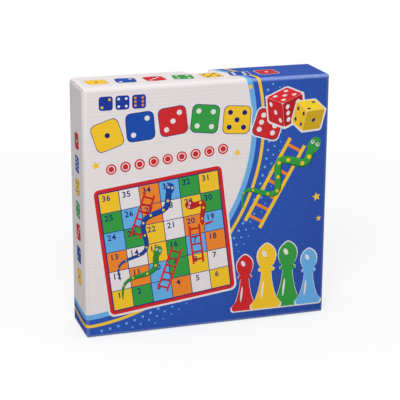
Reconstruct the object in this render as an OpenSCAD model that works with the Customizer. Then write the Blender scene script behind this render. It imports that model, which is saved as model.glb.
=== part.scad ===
// Boxed set of two board games: a lift-off lid over a base, both folded from fluted card.
// The box stands on one side wall with the lid's face to the front (-Y).
// Inside are a card insert with a trough, pawns, a die, a leaflet and a board that folds in two.

/* [Box] */
// Outside width of the lid
lid_w = 240; // [210:1:320]
// Outside height of the lid as the box stands
lid_h = 240; // [210:1:320]
// Outside depth of the lid
lid_d = 50; // [46:1:80]
// Thickness of the fluted card
card_t = 1.6; // [1.2:0.1:1.8]
// Outside radius of the folds round the lid's face
lid_fold_r = 5; // [3:0.1:7]
// Outside radius of the folds round the base's floor
base_fold_r = 3; // [2.2:0.1:4]
// Outside radius of the folds between the side walls and their glue tabs
tab_fold_r = 2.2; // [1.8:0.1:3]
// Length of the glue tabs at the ends of the side walls
tab_l = 28; // [15:1:40]
// How far the upper and lower walls stop short of the side faces
wall_trim = 1; // [0.8:0.1:2]
// Radius that rounds the ends of the upper and lower walls
wall_end_r = 4; // [2:0.1:5]
// How far the glue tabs stop short of the face
tab_relief = 6; // [3:0.5:8]
// Radius of the thumb notches in the lid's rim
notch_r = 13; // [8:0.5:18]
// How far the thumb notches sit right of the middle
notch_shift = 2; // [0:0.5:10]

/* [Fit] */
// Gap between the base's side walls and the lid's
side_clear = 1; // [0.3:0.1:2]
// Gap over the base where it stands in the lid
top_clear = 1.7; // [0.5:0.1:3]
// Gap between pieces that rest on each other
seat_gap = 0.3; // [0.1:0.05:0.5]
// How far the base's floor lies inside the lid's rim
floor_inset = 0.5; // [0.2:0.1:2]

/* [Insert] */
// Thickness of the insert's card
insert_t = 1; // [0.6:0.1:1.4]
// Outside radius of the insert's folds
insert_r = 2; // [1.6:0.1:3]
// Gap between the insert's ends and the base's side walls
insert_clear = 1; // [0.3:0.1:3]
// Height of the trough's lower wall over the insert's lower edge
trough_rise = 106; // [60:1:120]
// Room over the pawns in the trough
trough_room = 18; // [8:1:30]

/* [Board] */
// Thickness of the grey board in each half
core_t = 1.8; // [1.2:0.1:2.2]
// Thickness of the papers glued to each half
sheet_t = 0.2; // [0.1:0.05:0.3]
// Gap between the halves when the board is shut
shut_gap = 0.2; // [0.1:0.05:0.4]
// Gap between the board's side edges and the base
board_side_gap = 4.8; // [3:0.1:8]
// Gap over the board where it stands in the base
board_top_gap = 2.9; // [1:0.1:6]
// Width of the hinge tape on each half
tape_w = 12; // [6:1:20]

/* [Leaflet] */
// Height of the folded leaflet
leaflet_h = 99; // [60:1:100]
// How far the leaflet stops short of the board's side edges
leaflet_side_gap = 6; // [2:1:40]
// Thickness of the leaflet's paper
leaflet_paper_t = 0.2; // [0.1:0.05:0.3]
// Gap between the leaflet's folded panels
leaflet_gap = 0.2; // [0.1:0.05:0.3]

/* [Pawns] */
// Pawns of each colour
pawns_per_colour = 4; // [2:1:4]
// Diameter of a pawn's foot
pawn_d = 13; // [10:0.5:14]
// Height of a pawn
pawn_h = 25; // [20:0.5:28]
// Thickness of the foot
foot_t = 2.6; // [2:0.1:4]
// Diameter of the body just over the foot
body_d = 10.4; // [8:0.1:10.6]
// Diameter of the neck
neck_d = 4.6; // [3:0.1:6]
// Diameter of the collar
collar_d = 7.6; // [6:0.1:9]
// Thickness of the collar
collar_t = 1.4; // [0.8:0.1:2]
// Diameter of the head
head_d = 8.8; // [7:0.1:9.6]
// How far the head sits down into the collar
head_sink = 1; // [0.5:0.1:1.5]
// Gap between pawns
pawn_gap = 0.8; // [0.4:0.1:2]

/* [Die] */
// Edge of the die
die_s = 14; // [10:0.5:16]
// Diameter of the ball that rounds the die's corners
die_ball_d = 19.4; // [18.8:0.1:22]
// Diameter of a pip
pip_d = 2.6; // [1.6:0.1:3]
// Distance from the middle of a face to its outer pips
pip_pitch = 3.6; // [3:0.1:3.8]
// Depth of a pip's recess
pip_depth = 0.5; // [0.3:0.1:0.8]
// Thickness of the paint in a pip
pip_paint_t = 0.25; // [0.1:0.05:0.3]
// Gap between the last pawn and the die
die_gap = 12; // [2:1:20]
// Turn of the die on the trough's wall, in degrees
die_turn = 24; // [0:1:90]

/* [Hidden] */
$fn = 64;
over = 1;
colours = ["red", "blue", "yellow", "green"];
PAWNS = [for (c = colours) for (i = [1:pawns_per_colour]) str("pawn_", c, "_", i)];

// The base inside the lid
base_w = lid_w - 2 * (card_t + side_clear);
base_z = 2 * card_t + seat_gap;
base_h = lid_h - base_z - 2 * card_t - top_clear;
base_rim_y = -lid_d / 2 + lid_fold_r + seat_gap;
base_back_y = lid_d / 2 - floor_inset;
base_d = base_back_y - base_rim_y;
base_floor_y = base_back_y - card_t;

// The contents stand on the base's lower glue tabs
stand_z = base_z + 2 * card_t + seat_gap;
tabs_h = base_h - 4 * card_t;

// The insert
insert_w = base_w - 2 * (card_t + insert_clear);
insert_h = tabs_h - 2 * seat_gap;
insert_back_y = base_floor_y - seat_gap;
trough_d = 2 * pawn_d + 3 * pawn_gap;
trough_h = pawn_h + trough_room;
insert_d = trough_d + insert_t;
platform_y = insert_back_y - insert_d;
trough_z = stand_z + trough_rise;
shelf_z = trough_z + seat_gap;

// The leaflet stands before the insert's lower platform
leaflet_t = 3 * leaflet_paper_t + 2 * leaflet_gap;
leaflet_back_y = platform_y - seat_gap;
leaflet_bend_r = leaflet_paper_t + leaflet_gap / 2;

// The board stands before the leaflet, with its spine on the left
board_w = base_w - 2 * (card_t + board_side_gap);
board_h = tabs_h - seat_gap - board_top_gap;
half_t = core_t + 2 * sheet_t;
fold_y = leaflet_back_y - leaflet_t - seat_gap - half_t - shut_gap / 2;
spine_x = -board_w / 2;
leaflet_w = board_w - 2 * leaflet_side_gap;

// The pawns stand in two rows of like length on the trough's lower wall
pawn_pitch = pawn_d + pawn_gap;
pawns_per_row = len(PAWNS) / 2;
first_pawn_x = -insert_w / 2 + pawn_pitch;
first_row_y = platform_y + pawn_gap + pawn_d / 2;
neck_z = pawn_h - head_d + head_sink;

// The die stands past the last pawn
die_x = first_pawn_x + pawns_per_row * pawn_pitch + die_gap;
die_y = platform_y + trough_d / 2;
pip_shares = [
    [[0, 0]],
    [[-1, -1], [1, 1]],
    [[-1, -1], [0, 0], [1, 1]],
    [[-1, -1], [-1, 1], [1, -1], [1, 1]],
    [[-1, -1], [-1, 1], [0, 0], [1, -1], [1, 1]],
    [[-1, -1], [-1, 0], [-1, 1], [1, -1], [1, 0], [1, 1]]
];
face_turns = [[0, 0, 0], [0, 90, 0], [-90, 0, 0], [90, 0, 0], [0, -90, 0], [180, 0, 0]];

// Extrudes a (y, z) profile along X, about the middle
module along_x(length) {
    translate([-length / 2, 0, 0]) rotate([90, 0, 90]) linear_extrude(length) children();
}

// Extrudes an (x, z) profile along Y from y = 0
module along_y(length) {
    translate([0, length, 0]) rotate([90, 0, 0]) linear_extrude(length) children();
}

module rounded_rect(size, r) {
    square([size.x - 2 * r, size.y], center = true);
    square([size.x, size.y - 2 * r], center = true);
    for (sx = [-1, 1], sy = [-1, 1])
        translate([sx * (size.x / 2 - r), sy * (size.y / 2 - r)]) circle(r);
}

module rounded_ring(size, r, t) {
    difference() {
        rounded_rect(size, r);
        rounded_rect(size - [2 * t, 2 * t], r - t);
    }
}

// Block of a folded channel: a web at 0 with round folds, open at the depth
module channel_block(depth, height, r) {
    intersection() {
        translate([depth, height / 2]) rounded_rect([2 * depth, height], r);
        square([depth, height]);
    }
}

// The channel itself, folded from card of thickness t
module channel(depth, height, r, t) {
    intersection() {
        translate([depth, height / 2]) rounded_ring([2 * depth, height], r, t);
        square([depth, height]);
    }
}

// Tray folded from one blank, with its face at y = 0, its rim at y = d and folds of radius r.
// The side walls fold into glue tabs under the upper and lower walls, whose ends are rounded.
module folded_tray(w, h, d, r) {
    intersection() {
        along_x(w - 2 * wall_trim) channel(d, h, r, card_t);
        linear_extrude(h) translate([w / 2, 0]) rotate(90) channel_block(d, w, r);
        along_y(d) translate([0, h / 2]) rounded_rect([w, h], wall_end_r);
    }
    intersection() {
        linear_extrude(h) translate([w / 2, 0]) rotate(90) channel(d, w, r, card_t);
        along_x(w) channel_block(d, h, r);
        along_y(d) translate([0, h / 2]) rounded_rect([w, h - 2 * card_t], tab_fold_r);
    }
    translate([0, tab_relief, 0]) along_y(d - tab_relief) translate([0, h / 2]) intersection() {
        rounded_ring([w, h - 2 * card_t], tab_fold_r, card_t);
        for (side = [-1, 1])
            translate([side * (w - tab_l) / 2, 0]) square([tab_l, h], center = true);
    }
}

module lid_shell() {
    color("ghostwhite") difference() {
        translate([0, -lid_d / 2, 0]) folded_tray(lid_w, lid_h, lid_d, lid_fold_r);
        translate([notch_shift, lid_d / 2, -over]) cylinder(r = notch_r, h = lid_h + 2 * over);
    }
}

module base_shell() {
    color("royalblue") translate([0, base_back_y, base_z]) mirror([0, 1, 0])
        folded_tray(base_w, base_h, base_d, base_fold_r);
}

// One folded card: two platforms with a trough between them
module insert_tray() {
    upper_z = trough_rise + trough_h;
    color("white") translate([0, platform_y, stand_z]) along_x(insert_w) {
        channel(insert_d - insert_r, trough_rise, insert_r, insert_t);
        translate([0, upper_z])
            channel(insert_d - insert_r, insert_h - upper_z, insert_r, insert_t);
        translate([insert_d, trough_rise - insert_t]) mirror([1, 0])
            channel(insert_d - insert_r, trough_h + 2 * insert_t, insert_r, insert_t);
        for (z = [0, insert_h - insert_t])
            translate([insert_d - insert_r, z]) square([insert_r, insert_t]);
    }
}

// One turn of the leaflet's paper, open to +z
module leaflet_bend() {
    difference() {
        circle(leaflet_bend_r);
        circle(leaflet_bend_r - leaflet_paper_t);
        translate([-leaflet_bend_r, 0]) square(2 * leaflet_bend_r);
    }
}

// A sheet folded twice into three panels
module rules_leaflet() {
    panel_pitch = leaflet_paper_t + leaflet_gap;
    panel_h = leaflet_h - 2 * leaflet_bend_r;
    color("white") translate([0, leaflet_back_y - leaflet_t, stand_z + leaflet_bend_r])
        along_x(leaflet_w) {
            for (i = [0:2])
                translate([i * panel_pitch, 0]) square([leaflet_paper_t, panel_h]);
            translate([leaflet_bend_r, 0]) leaflet_bend();
            translate([panel_pitch + leaflet_bend_r, panel_h]) mirror([0, 1]) leaflet_bend();
        }
}

// A layer of the board's back half, at a depth behind the fold
module board_layer(start_x, width, depth, thickness) {
    translate([start_x, fold_y + shut_gap / 2 + depth, stand_z]) cube([width, thickness, board_h]);
}

module half_tape() {
    board_layer(spine_x, tape_w, 0, sheet_t);
}

module half_backing() {
    board_layer(spine_x + tape_w, board_w - tape_w, 0, sheet_t);
}

module half_core() {
    board_layer(spine_x, board_w, sheet_t, core_t);
}

module half_print() {
    board_layer(spine_x, board_w, sheet_t + core_t, sheet_t);
}

// The front half mirrors the back half about the fold
module front_half() {
    translate([0, 2 * fold_y, 0]) mirror([0, 1, 0]) children();
}

module hinge_tape_back_leaf() {
    color("navy") half_tape();
}

module ludo_backing_sheet() {
    color("royalblue") half_backing();
}

module ludo_half_core() {
    color("gray") half_core();
}

module ludo_print_sheet() {
    color("gold") half_print();
}

module hinge_tape_front_leaf() {
    color("navy") front_half() half_tape();
}

module ladders_backing_sheet() {
    color("royalblue") front_half() half_backing();
}

module ladders_half_core() {
    color("gray") front_half() half_core();
}

module ladders_print_sheet() {
    color("limegreen") front_half() half_print();
}

// Half outline of a turned pawn: foot, tapering body, collar and ball head
module pawn_outline() {
    square([pawn_d / 2 - foot_t / 2, foot_t]);
    translate([pawn_d / 2 - foot_t / 2, foot_t / 2]) circle(foot_t / 2);
    polygon([[0, 0], [body_d / 2, 0], [body_d / 2, foot_t], [neck_d / 2, neck_z], [0, neck_z]]);
    translate([0, neck_z - collar_t]) square([(collar_d - collar_t) / 2, collar_t]);
    translate([(collar_d - collar_t) / 2, neck_z - collar_t / 2]) circle(collar_t / 2);
    translate([0, pawn_h - head_d / 2]) circle(head_d / 2);
}

// A pawn in its place: the first half of the list in the front row
module pawn(index) {
    row = floor(index / pawns_per_row);
    place = index - row * pawns_per_row;
    translate([first_pawn_x + place * pawn_pitch, first_row_y + row * pawn_pitch, shelf_z])
        rotate_extrude() intersection() {
            pawn_outline();
            square([pawn_d, pawn_h]);
        }
}

module die_place() {
    translate([die_x, die_y, shelf_z + die_s / 2]) rotate([0, 0, die_turn]) children();
}

// Discs at the pips of all six faces, from a depth outwards
module pip_discs(depth, thickness) {
    for (face = [0:len(face_turns) - 1])
        rotate(face_turns[face]) for (share = pip_shares[face])
            translate([share.x * pip_pitch, share.y * pip_pitch, die_s / 2 - depth])
                cylinder(d = pip_d, h = thickness);
}

module die() {
    color("crimson") die_place() difference() {
        intersection() {
            cube(die_s, center = true);
            sphere(d = die_ball_d);
        }
        pip_discs(pip_depth, pip_depth + over);
    }
}

module die_pips() {
    color("white") die_place() pip_discs(pip_depth, pip_paint_t);
}

lid_shell();
base_shell();
insert_tray();
rules_leaflet();
die();
die_pips();
ladders_half_core();
ladders_print_sheet();
ladders_backing_sheet();
hinge_tape_front_leaf();
ludo_half_core();
ludo_print_sheet();
ludo_backing_sheet();
hinge_tape_back_leaf();
for (i = [0:len(PAWNS) - 1])
    color(colours[floor(i / pawns_per_colour)]) pawn(i);
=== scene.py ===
"""Looks of a boxed board game set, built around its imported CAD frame."""

import functools
import math

import bpy
from bpy.props import FloatProperty, FloatVectorProperty, IntProperty, PointerProperty
from mathutils import Matrix, Vector


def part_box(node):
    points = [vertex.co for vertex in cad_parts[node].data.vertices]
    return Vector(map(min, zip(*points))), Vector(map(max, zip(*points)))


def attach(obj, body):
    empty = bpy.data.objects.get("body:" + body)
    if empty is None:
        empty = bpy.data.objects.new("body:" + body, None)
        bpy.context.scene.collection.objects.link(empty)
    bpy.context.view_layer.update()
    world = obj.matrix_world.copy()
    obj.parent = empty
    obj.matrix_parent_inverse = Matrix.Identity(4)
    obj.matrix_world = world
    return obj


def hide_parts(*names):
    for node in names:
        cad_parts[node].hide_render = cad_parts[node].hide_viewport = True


bl_info = {
    "name": "Boxed board game set",
    "version": (1, 0, 0),
    "blender": (4, 5, 0),
    "location": "3D View > Sidebar > Game set",
    "description": "Printed card, boards and playing pieces of a boxed game set",
    "category": "Add Mesh",
}

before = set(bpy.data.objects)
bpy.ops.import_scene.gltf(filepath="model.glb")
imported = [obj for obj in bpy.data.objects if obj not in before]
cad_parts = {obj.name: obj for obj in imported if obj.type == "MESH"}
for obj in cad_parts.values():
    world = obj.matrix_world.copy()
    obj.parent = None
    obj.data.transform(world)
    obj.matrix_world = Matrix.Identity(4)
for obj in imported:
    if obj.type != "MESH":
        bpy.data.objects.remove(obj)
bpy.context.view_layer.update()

MM = 0.001
LID_LOW, LID_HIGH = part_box("lid_shell")
BASE_LOW, BASE_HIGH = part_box("base_shell")
LADDERS_LOW, LADDERS_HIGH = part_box("ladders_print_sheet")
LUDO_LOW, LUDO_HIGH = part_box("ludo_print_sheet")

# The CAD model's folds and card, and how far the upper and lower walls stop short of the side faces
LID_FOLD = 5 * MM
BASE_FOLD = 3 * MM
CARD = 1.6 * MM
WALL_TRIM = 1 * MM

# Painted sheen along the folds, partly ink that a fold stretches: where it starts and where it is full, as
# shares of the fold's radius, its strength on the upright folds, and how far it takes the place of the blue
FOLD_SHARES = (0.15, 0.64)
UPRIGHT_FOLD_SHARE = 0.4
SHEEN_AND_STRETCH_SHARE = 0.9

# Paper that shows through the print: evenly on the folds, in flecks on the folds, in specks all over
RUB_SHARE = 0.04
FLECK_SHARE = 0.12
SPECK_SHARE = 0.05

# Dark line along a seam: its soft edge as shares of the card, its faintest and the rest of its strength
SEAM_SHARES = (0.15, 0.42)
SEAM_FAINT_SHARE = 0.1
SEAM_BROKEN_SHARE = 0.45

# Layers of the card from its inner side: end of the liner, start of the print, swing and width of the flute
LINER_SHARE = 0.14
PRINT_SHARE = 0.86
FLUTE_SWING_SHARE = 0.32
FLUTE_WIDTH_SHARE = 0.17

# How much of the washboard shows where it is faintest
WASHBOARD_SHARE = 0.4

# Noise scales of the finishes, in marks to the metre
PATCH_SCALE = 14.0
SPECK_SCALE = 420.0
SEAM_SCALE = 150.0
LINER_SCALE = 180.0
GLOSS_SCALE = 60.0
BASE_TONE_SCALE = 9.0
PAPER_FIBRE_SCALE = 220.0
PAPER_SPECK_SCALE = 700.0
BOARD_FIBRE_SCALE = 350.0
BOARD_FLECK_SCALE = 900.0
BACKING_TONE_SCALE = 30.0
SHEET_TONE_SCALE = 25.0
SHEET_GLOSS_SCALE = 80.0
FLOW_SCALE = 70.0
SCUFF_SCALE = 500.0
PIT_SCALE = 1200.0

PAWN_COLOURS = ("red", "blue", "yellow", "green")
SQUARE_COLOURS = ("yellow", "light_blue", "white", "green", "orange")
SNAKE_COLOURS = ("green", "blue", "red")

# A printed counter from its lowest ink: colour, share of the width
COUNTER_SHARES = (("red", 1), ("white", 0.72), ("red", 0.54))

# Parts of a die's face as shares of its edge: round corner, way to the outer pips, width of a pip
TILE_CORNER_SHARE = 0.2
PIP_PLACE_SHARE = 0.27
PIP_WIDTH_SHARE = 0.19

# Places of a die's pips, as shares of the distance from the middle to the outer pips
PIP_SHARES = (
    ((0, 0),),
    ((-1, -1), (1, 1)),
    ((-1, -1), (0, 0), (1, 1)),
    ((-1, -1), (-1, 1), (1, -1), (1, 1)),
    ((-1, -1), (-1, 1), (0, 0), (1, -1), (1, 1)),
    ((-1, -1), (-1, 0), (-1, 1), (1, -1), (1, 0), (1, 1)),
)

# Digits and ladders: pitch of the digits over their height, of the rungs over the ladder's width,
# and width of a rung over that of a rail
DIGIT_PITCH_SHARE = 0.74
RUNG_PITCH_SHARE = 0.75
RUNG_SHARE = 0.85

# A printed snake as shares of its width: head's place and size, eye's place and size, pupil's too;
# then a spot over half of the body's width, and how much of its width the tail loses
HEAD_SHARES = (0.2, 0.0, 1.9, 1.4)
EYE_SHARES = (0.45, 0.32, 0.42)
PUPIL_SHARES = (0.05, 0.0, 0.2)
SPOT_SHARE = 0.95
TAIL_THIN_SHARE = 0.8

# A numbered grid as shares of a square: number's place and height, ladder's width and rail,
# snake's width, sway and wave
NUMBER_SHARES = (-0.14, 0.24, 0.3)
LADDER_SHARES = (0.5, 0.1)
SNAKE_SHARES = (0.3, 0.4, 2.2)

# A printed pawn: width over height, height of the outer two, and the place, size and turn of its gleams
PAWN_WIDTH_SHARE = 0.46
OUTER_PAWN_SHARE = 0.86
GLEAM_SHARES = ((-0.07, 0.85, 0.14, 0.11, 0.5), (-0.12, 0.3, 0.07, 0.28, -0.1))

# A die seen from a corner: its three edges as drawn, and how large each side's halo and colour are
EDGE_SHARES = ((0.82, 0.26), (-0.6, 0.34), (0.0, -0.92))
HALO_SHARE = 1.18
SIDE_SHARE = 0.99

# Size and pitch of the upper wall's tiles, as a share of the side walls'
UPPER_TILE_SHARE = 1.25

# A pawn's outline from its foot up: share of the height, share of the width
PAWN_SHARES = (
    (0.0, 0.84),
    (0.03, 0.98),
    (0.08, 1.0),
    (0.12, 0.86),
    (0.17, 0.68),
    (0.3, 0.5),
    (0.45, 0.37),
    (0.57, 0.32),
    (0.585, 0.5),
    (0.62, 0.52),
    (0.64, 0.36),
    (0.68, 0.48),
    (0.74, 0.59),
    (0.81, 0.63),
    (0.88, 0.58),
    (0.94, 0.42),
    (0.98, 0.22),
    (1.0, 0.06),
)


def length(name, description, default):
    """A length property; its default is given in millimetres."""
    return FloatProperty(
        name=name, description=description, default=default * MM, unit="LENGTH", precision=5
    )


def colour(name, description, default):
    """A colour property, in linear light."""
    return FloatVectorProperty(
        name=name, description=description, default=default, subtype="COLOR", min=0, max=1
    )


def angle(name, description, default):
    """An angle property; its default is given in degrees."""
    return FloatProperty(
        name=name, description=description, default=math.radians(default), subtype="ANGLE"
    )


def level(name, description, default):
    """A plain number that is zero or more."""
    return FloatProperty(name=name, description=description, default=default, min=0)


def whole(name, description, default):
    """A whole number of one or more."""
    return IntProperty(name=name, description=description, default=default, min=1)


def position(name, description, default):
    """A point in the frame; its default is given in millimetres."""
    metres = [value * MM for value in default]
    return FloatVectorProperty(
        name=name, description=description, default=metres, subtype="TRANSLATION", unit="LENGTH"
    )


class GameSetColours(bpy.types.PropertyGroup):
    """Inks, papers, card and plastics."""

    white: colour("White", "White of the printed card", (0.8, 0.748, 0.756))
    blue: colour("Blue", "Main blue of the print", (0.014, 0.076, 0.4))
    deep_blue: colour("Deep blue", "Blue of lines and of the shaded print", (0.008, 0.022, 0.16))
    # Painted sheen along the folds, partly ink stretched thin there
    stretched: colour("Stretched ink", "The main blue where a fold stretches it", (0.19, 0.28, 0.68))
    light_blue: colour("Light blue", "Second blue of the print", (0.14, 0.42, 0.78))
    yellow: colour("Yellow", "Yellow of the print", (0.9, 0.56, 0.03))
    red: colour("Red", "Red of the print", (0.62, 0.025, 0.03))
    green: colour("Green", "Green of the print", (0.04, 0.33, 0.06))
    orange: colour("Orange", "Orange of the print", (0.84, 0.24, 0.03))
    liner: colour("Liner", "Unprinted inner paper of the card", (0.6, 0.57, 0.54))
    kraft: colour("Flutes", "Paper of the flutes at cut edges", (0.5, 0.42, 0.33))
    # Painted shade of the hollows between the flutes at cut edges, also the dark line of the seams
    hollow: colour("Hollow", "Dark between the flutes at cut edges", (0.2, 0.165, 0.13))
    grey_board: colour("Grey board", "Core of the folding board", (0.34, 0.325, 0.3))
    cream: colour("Cream", "Ground of the boards' print", (0.8, 0.72, 0.52))
    paper: colour("Paper", "Leaflet and insert", (0.74, 0.735, 0.71))
    backing: colour("Backing", "Plain paper on the back of the board", (0.05, 0.16, 0.5))
    tape: colour("Tape", "Linen tape of the board's hinge", (0.018, 0.035, 0.13))


class GameSetCard(bpy.types.PropertyGroup):
    """Surface of the fluted card and its papers."""

    flute_pitch: length("Flute pitch", "Distance between the flutes of the card", 3.5)
    flute_depth: length("Flute depth", "How far the flutes show through the paper", 0.038)
    grain_depth: length("Grain depth", "Height of the paper's grain", 0.004)
    grain_scale: level("Grain scale", "Grains to the metre in the papers", 900)
    satin: level("Satin", "Roughness of the varnished print", 0.4)
    matt: level("Matt", "Roughness of bare paper and card", 0.75)
    uneven: level("Uneven", "How much rougher a print or paper is in places", 0.1)
    varnish: level("Varnish", "Weight of the clear varnish over the print", 0.08)
    varnish_rough: level("Varnish roughness", "Roughness of the clear varnish", 0.25)
    print_edge: length("Print edge", "Softness of an edge in the print", 0.12)


class GameSetCover(bpy.types.PropertyGroup):
    """Sizes and places of the print on the box; right and up are from the middle of the face's foot."""

    ink_step: length("Ink step", "Height of one layer of ink", 0.02)
    ink_room: length("Ink room", "Room that the lid's card leaves for the ink", 0.25)
    disc_right: length("Disc, right", "Middle of the white disc behind the print", -130)
    disc_up: length("Disc, up", "Height of the middle of the white disc", 195)
    disc_radius: length("Disc's radius", "White disc behind the print", 172)
    ring: length("Ring", "Width of the light blue ring, and of the gap past it", 5)
    thin_ring: length("Thin ring", "Width of the yellow ring", 3)
    halo: length("Halo", "Width of the white line round a motif", 1.2)
    tile: length("Tile", "Edge of a die tile at the top of the face", 26)
    tile_pitch: length("Tile pitch", "Distance between the tiles", 31)
    tile_right: length("Tiles, right", "Place of the first tile", -97)
    tile_up: length("Tiles, up", "Height of the row of tiles at its middle", 205)
    tile_bend: level("Tiles' bend", "How strongly the row of tiles curves down at its ends", 1.6)
    tile_tilt: angle("Tiles' tilt", "Turn of a tile to the one side or the other", 4)
    small_tile: length("Small tile", "Edge of a die tile in the face's upper left corner", 13)
    small_pitch: length("Small tile pitch", "Distance between the small tiles", 15.5)
    small_right: length("Small tiles, right", "Place of the first small tile", -98)
    small_up: length("Small tiles, up", "Height of the small tiles", 225)
    counter: length("Counter", "Diameter of a printed counter", 10)
    counter_pitch: length("Counter pitch", "Distance between the counters", 13.5)
    counters: whole("Counters", "Counters in the row", 9)
    counters_right: length("Counters, right", "Middle of the row of counters", -40)
    counters_up: length("Counters, up", "Height of the row of counters at its middle", 169)
    counters_turn: angle("Counters' turn", "Slant of the row of counters", 6)
    panel: length("Panel", "Edge of the printed game panel", 116)
    panel_white: length("Panel's white", "Width that the white rim adds to the panel", 12)
    panel_red: length("Panel's red", "Width that the red rim adds to the panel", 8)
    panel_right: length("Panel, right", "Middle of the game panel", -42)
    panel_up: length("Panel, up", "Height of the middle of the game panel", 90)
    panel_turn: angle("Panel's turn", "Turn of the game panel on the face", 7)
    pawn: length("Pawn", "Height of a printed pawn", 66)
    pawn_pitch: length("Pawn pitch", "Distance between the printed pawns", 22)
    pawn_right: length("Pawns, right", "Place of the first pawn", 37)
    pawn_up: length("Pawns, up", "Height of the pawns' feet", 11)
    dot_start: length("Dots' start", "From the rings to the first row of dots", 5)
    dot_pitch: length("Dot pitch", "Distance between the rows of dots", 6)
    dot_margin: length("Dots' margin", "From the dots to the edge of the face", 6)
    wall_tile: length("Wall tile", "Edge of a die tile on the side walls", 15)
    wall_pitch: length("Wall pitch", "Distance between the tiles on the side walls", 22)
    wall_tiles: whole("Wall tiles", "Tiles on each wall", 7)
    wall_tilt: angle("Wall tiles' tilt", "Turn of a wall's tile to the one side or the other", 6)
    upper_right: length("Upper tiles, right", "Middle of the row of tiles on the upper wall", -18)
    emblem: length("Emblem", "Edge of the ludo cross on the back", 150)
    emblem_white: length("Emblem's white", "Width that the white rim adds to the cross", 14)
    emblem_yellow: length("Emblem's yellow", "Width that the yellow rim adds to the cross", 10)


class GameSetBoards(bpy.types.PropertyGroup):
    """Print and materials of the folding board."""

    ladders_cell: length("Ladders cell", "Edge of a numbered square", 20.4)
    ladders_blue: length("Ladders' blue", "Width that the blue rim adds to the squares", 14)
    ladders_yellow: length("Ladders' yellow", "Width that the yellow rim adds to the squares", 8)
    ludo_cell: length("Ludo cell", "Edge of a square of the ludo cross", 14.2)
    line: length("Line", "Width of the lines between squares", 0.7)
    layer: length("Layer", "Thickness of a layer of the grey board", 0.45)
    layer_depth: length("Layer depth", "How far the layers show at the grey board's edges", 0.01)
    fibre_depth: length("Fibre depth", "Height of the grey board's fibres", 0.03)
    emboss: length("Emboss", "Pitch of the backing paper's embossed grain", 0.9)
    emboss_depth: length("Emboss depth", "Height of the embossed grain", 0.012)
    thread: length("Thread", "Pitch of the hinge tape's threads", 0.6)
    thread_depth: length("Thread depth", "Height of the tape's threads", 0.03)


class GameSetPieces(bpy.types.PropertyGroup):
    """Plastic of the pawns and the die."""

    pawn_gloss: level("Pawn gloss", "Roughness of the pawns", 0.24)
    die_gloss: level("Die gloss", "Roughness of the die", 0.16)
    pip_gloss: level("Pip gloss", "Roughness of the paint in the pips", 0.6)
    scuff: level("Scuff", "How much rougher the plastic is where it is scuffed", 0.18)
    pit_depth: length("Pit depth", "Height of the finest unevenness", 0.004)
    flow_depth: length("Flow depth", "Height of the marks where the plastic flowed", 0.05)


class GameSetStage(bpy.types.PropertyGroup):
    """Camera, light and floor."""

    azimuth: angle("Azimuth", "Camera's place round the box", -17.9)
    elevation: angle("Elevation", "Camera's height over the horizon", 16.86)
    roll: angle("Roll", "Camera's turn about its line of sight", 0.31)
    distance: length("Distance", "From the camera to the middle of the view", 1340)
    target_right: length("Target, right", "Middle of the view, right of the box's middle", -0.63)
    target_up: length("Target, up", "Middle of the view over the floor", 119)
    lens: level("Lens", "Focal length in millimetres on a 36 mm sensor", 126.2)
    sky: level("Sky", "Strength of the light from all round", 0.37)
    aim_up: length("Aim, up", "Height in the box at which the lamps point", 120)
    key: level("Key", "Power of the lamp before the box and over it, in watts", 31.5)
    key_size: length("Key's size", "Edge of the lamp before the box", 1000)
    key_place: position("Key's place", "Middle of the lamp before the box", (-620, -1500, 1650))
    top: level("Top", "Power of the lamp straight over the box, in watts", 5.3)
    top_size: length("Top's size", "Edge of the lamp straight over the box", 1200)
    top_place: position("Top's place", "Middle of the lamp straight over the box", (0, 100, 1600))
    floor_size: length("Floor's size", "Edge of the floor", 12000)
    floor_grey: level("Floor's grey", "How much light the floor throws back at the box", 0.5)
    floor_shadow: level("Floor shadow", "Share of the box's shadow that shows on the white floor", 0.3)
    shadow_reach: length("Shadow's reach", "Where the floor turns plain white, from the box's middle", 900)


def rgba(values, light=1.0):
    """A colour with its alpha, made lighter or darker by a factor."""
    return (*(min(1.0, value * light) for value in values), 1.0)


class Value:
    """A socket of a node tree that takes part in Python expressions."""

    def __init__(self, nodes, socket):
        self.nodes = nodes
        self.socket = socket

    def also(self, output):
        """Another output of the same node."""
        return Value(self.nodes, self.socket.node.outputs[output])

    def math(self, operation, *values):
        """A Math node on values, this one among them."""
        return self.nodes.add("Math", {"operation": operation}, dict(enumerate(values)))

    def __add__(self, other):
        return self.math("ADD", self, other)

    def __radd__(self, other):
        return self.math("ADD", other, self)

    def __sub__(self, other):
        return self.math("SUBTRACT", self, other)

    def __rsub__(self, other):
        return self.math("SUBTRACT", other, self)

    def __mul__(self, other):
        return self.math("MULTIPLY", self, other)

    def __rmul__(self, other):
        return self.math("MULTIPLY", other, self)

    def __truediv__(self, other):
        return self.math("DIVIDE", self, other)

    def __gt__(self, other):
        return self.math("GREATER_THAN", self, other)

    def __lt__(self, other):
        return self.math("LESS_THAN", self, other)

    def __abs__(self):
        return self.math("ABSOLUTE", self)

    def least(self, other):
        return self.math("MINIMUM", self, other)

    def most(self, other):
        return self.math("MAXIMUM", self, other)

    def sign(self):
        return self.math("SIGN", self)

    def sine(self):
        return self.math("SINE", self)

    def root(self):
        return self.math("SQRT", self)

    def wave(self, pitch):
        """A sine wave along a length, from -1 to 1."""
        return (self * (math.tau / pitch)).sine()

    def ramp(self, low, high):
        """0 below low, 1 over high, smooth between."""
        settings = {"interpolation_type": "SMOOTHSTEP"}
        return self.nodes.add("MapRange", settings, {0: self, 1: low, 2: high})


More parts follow.
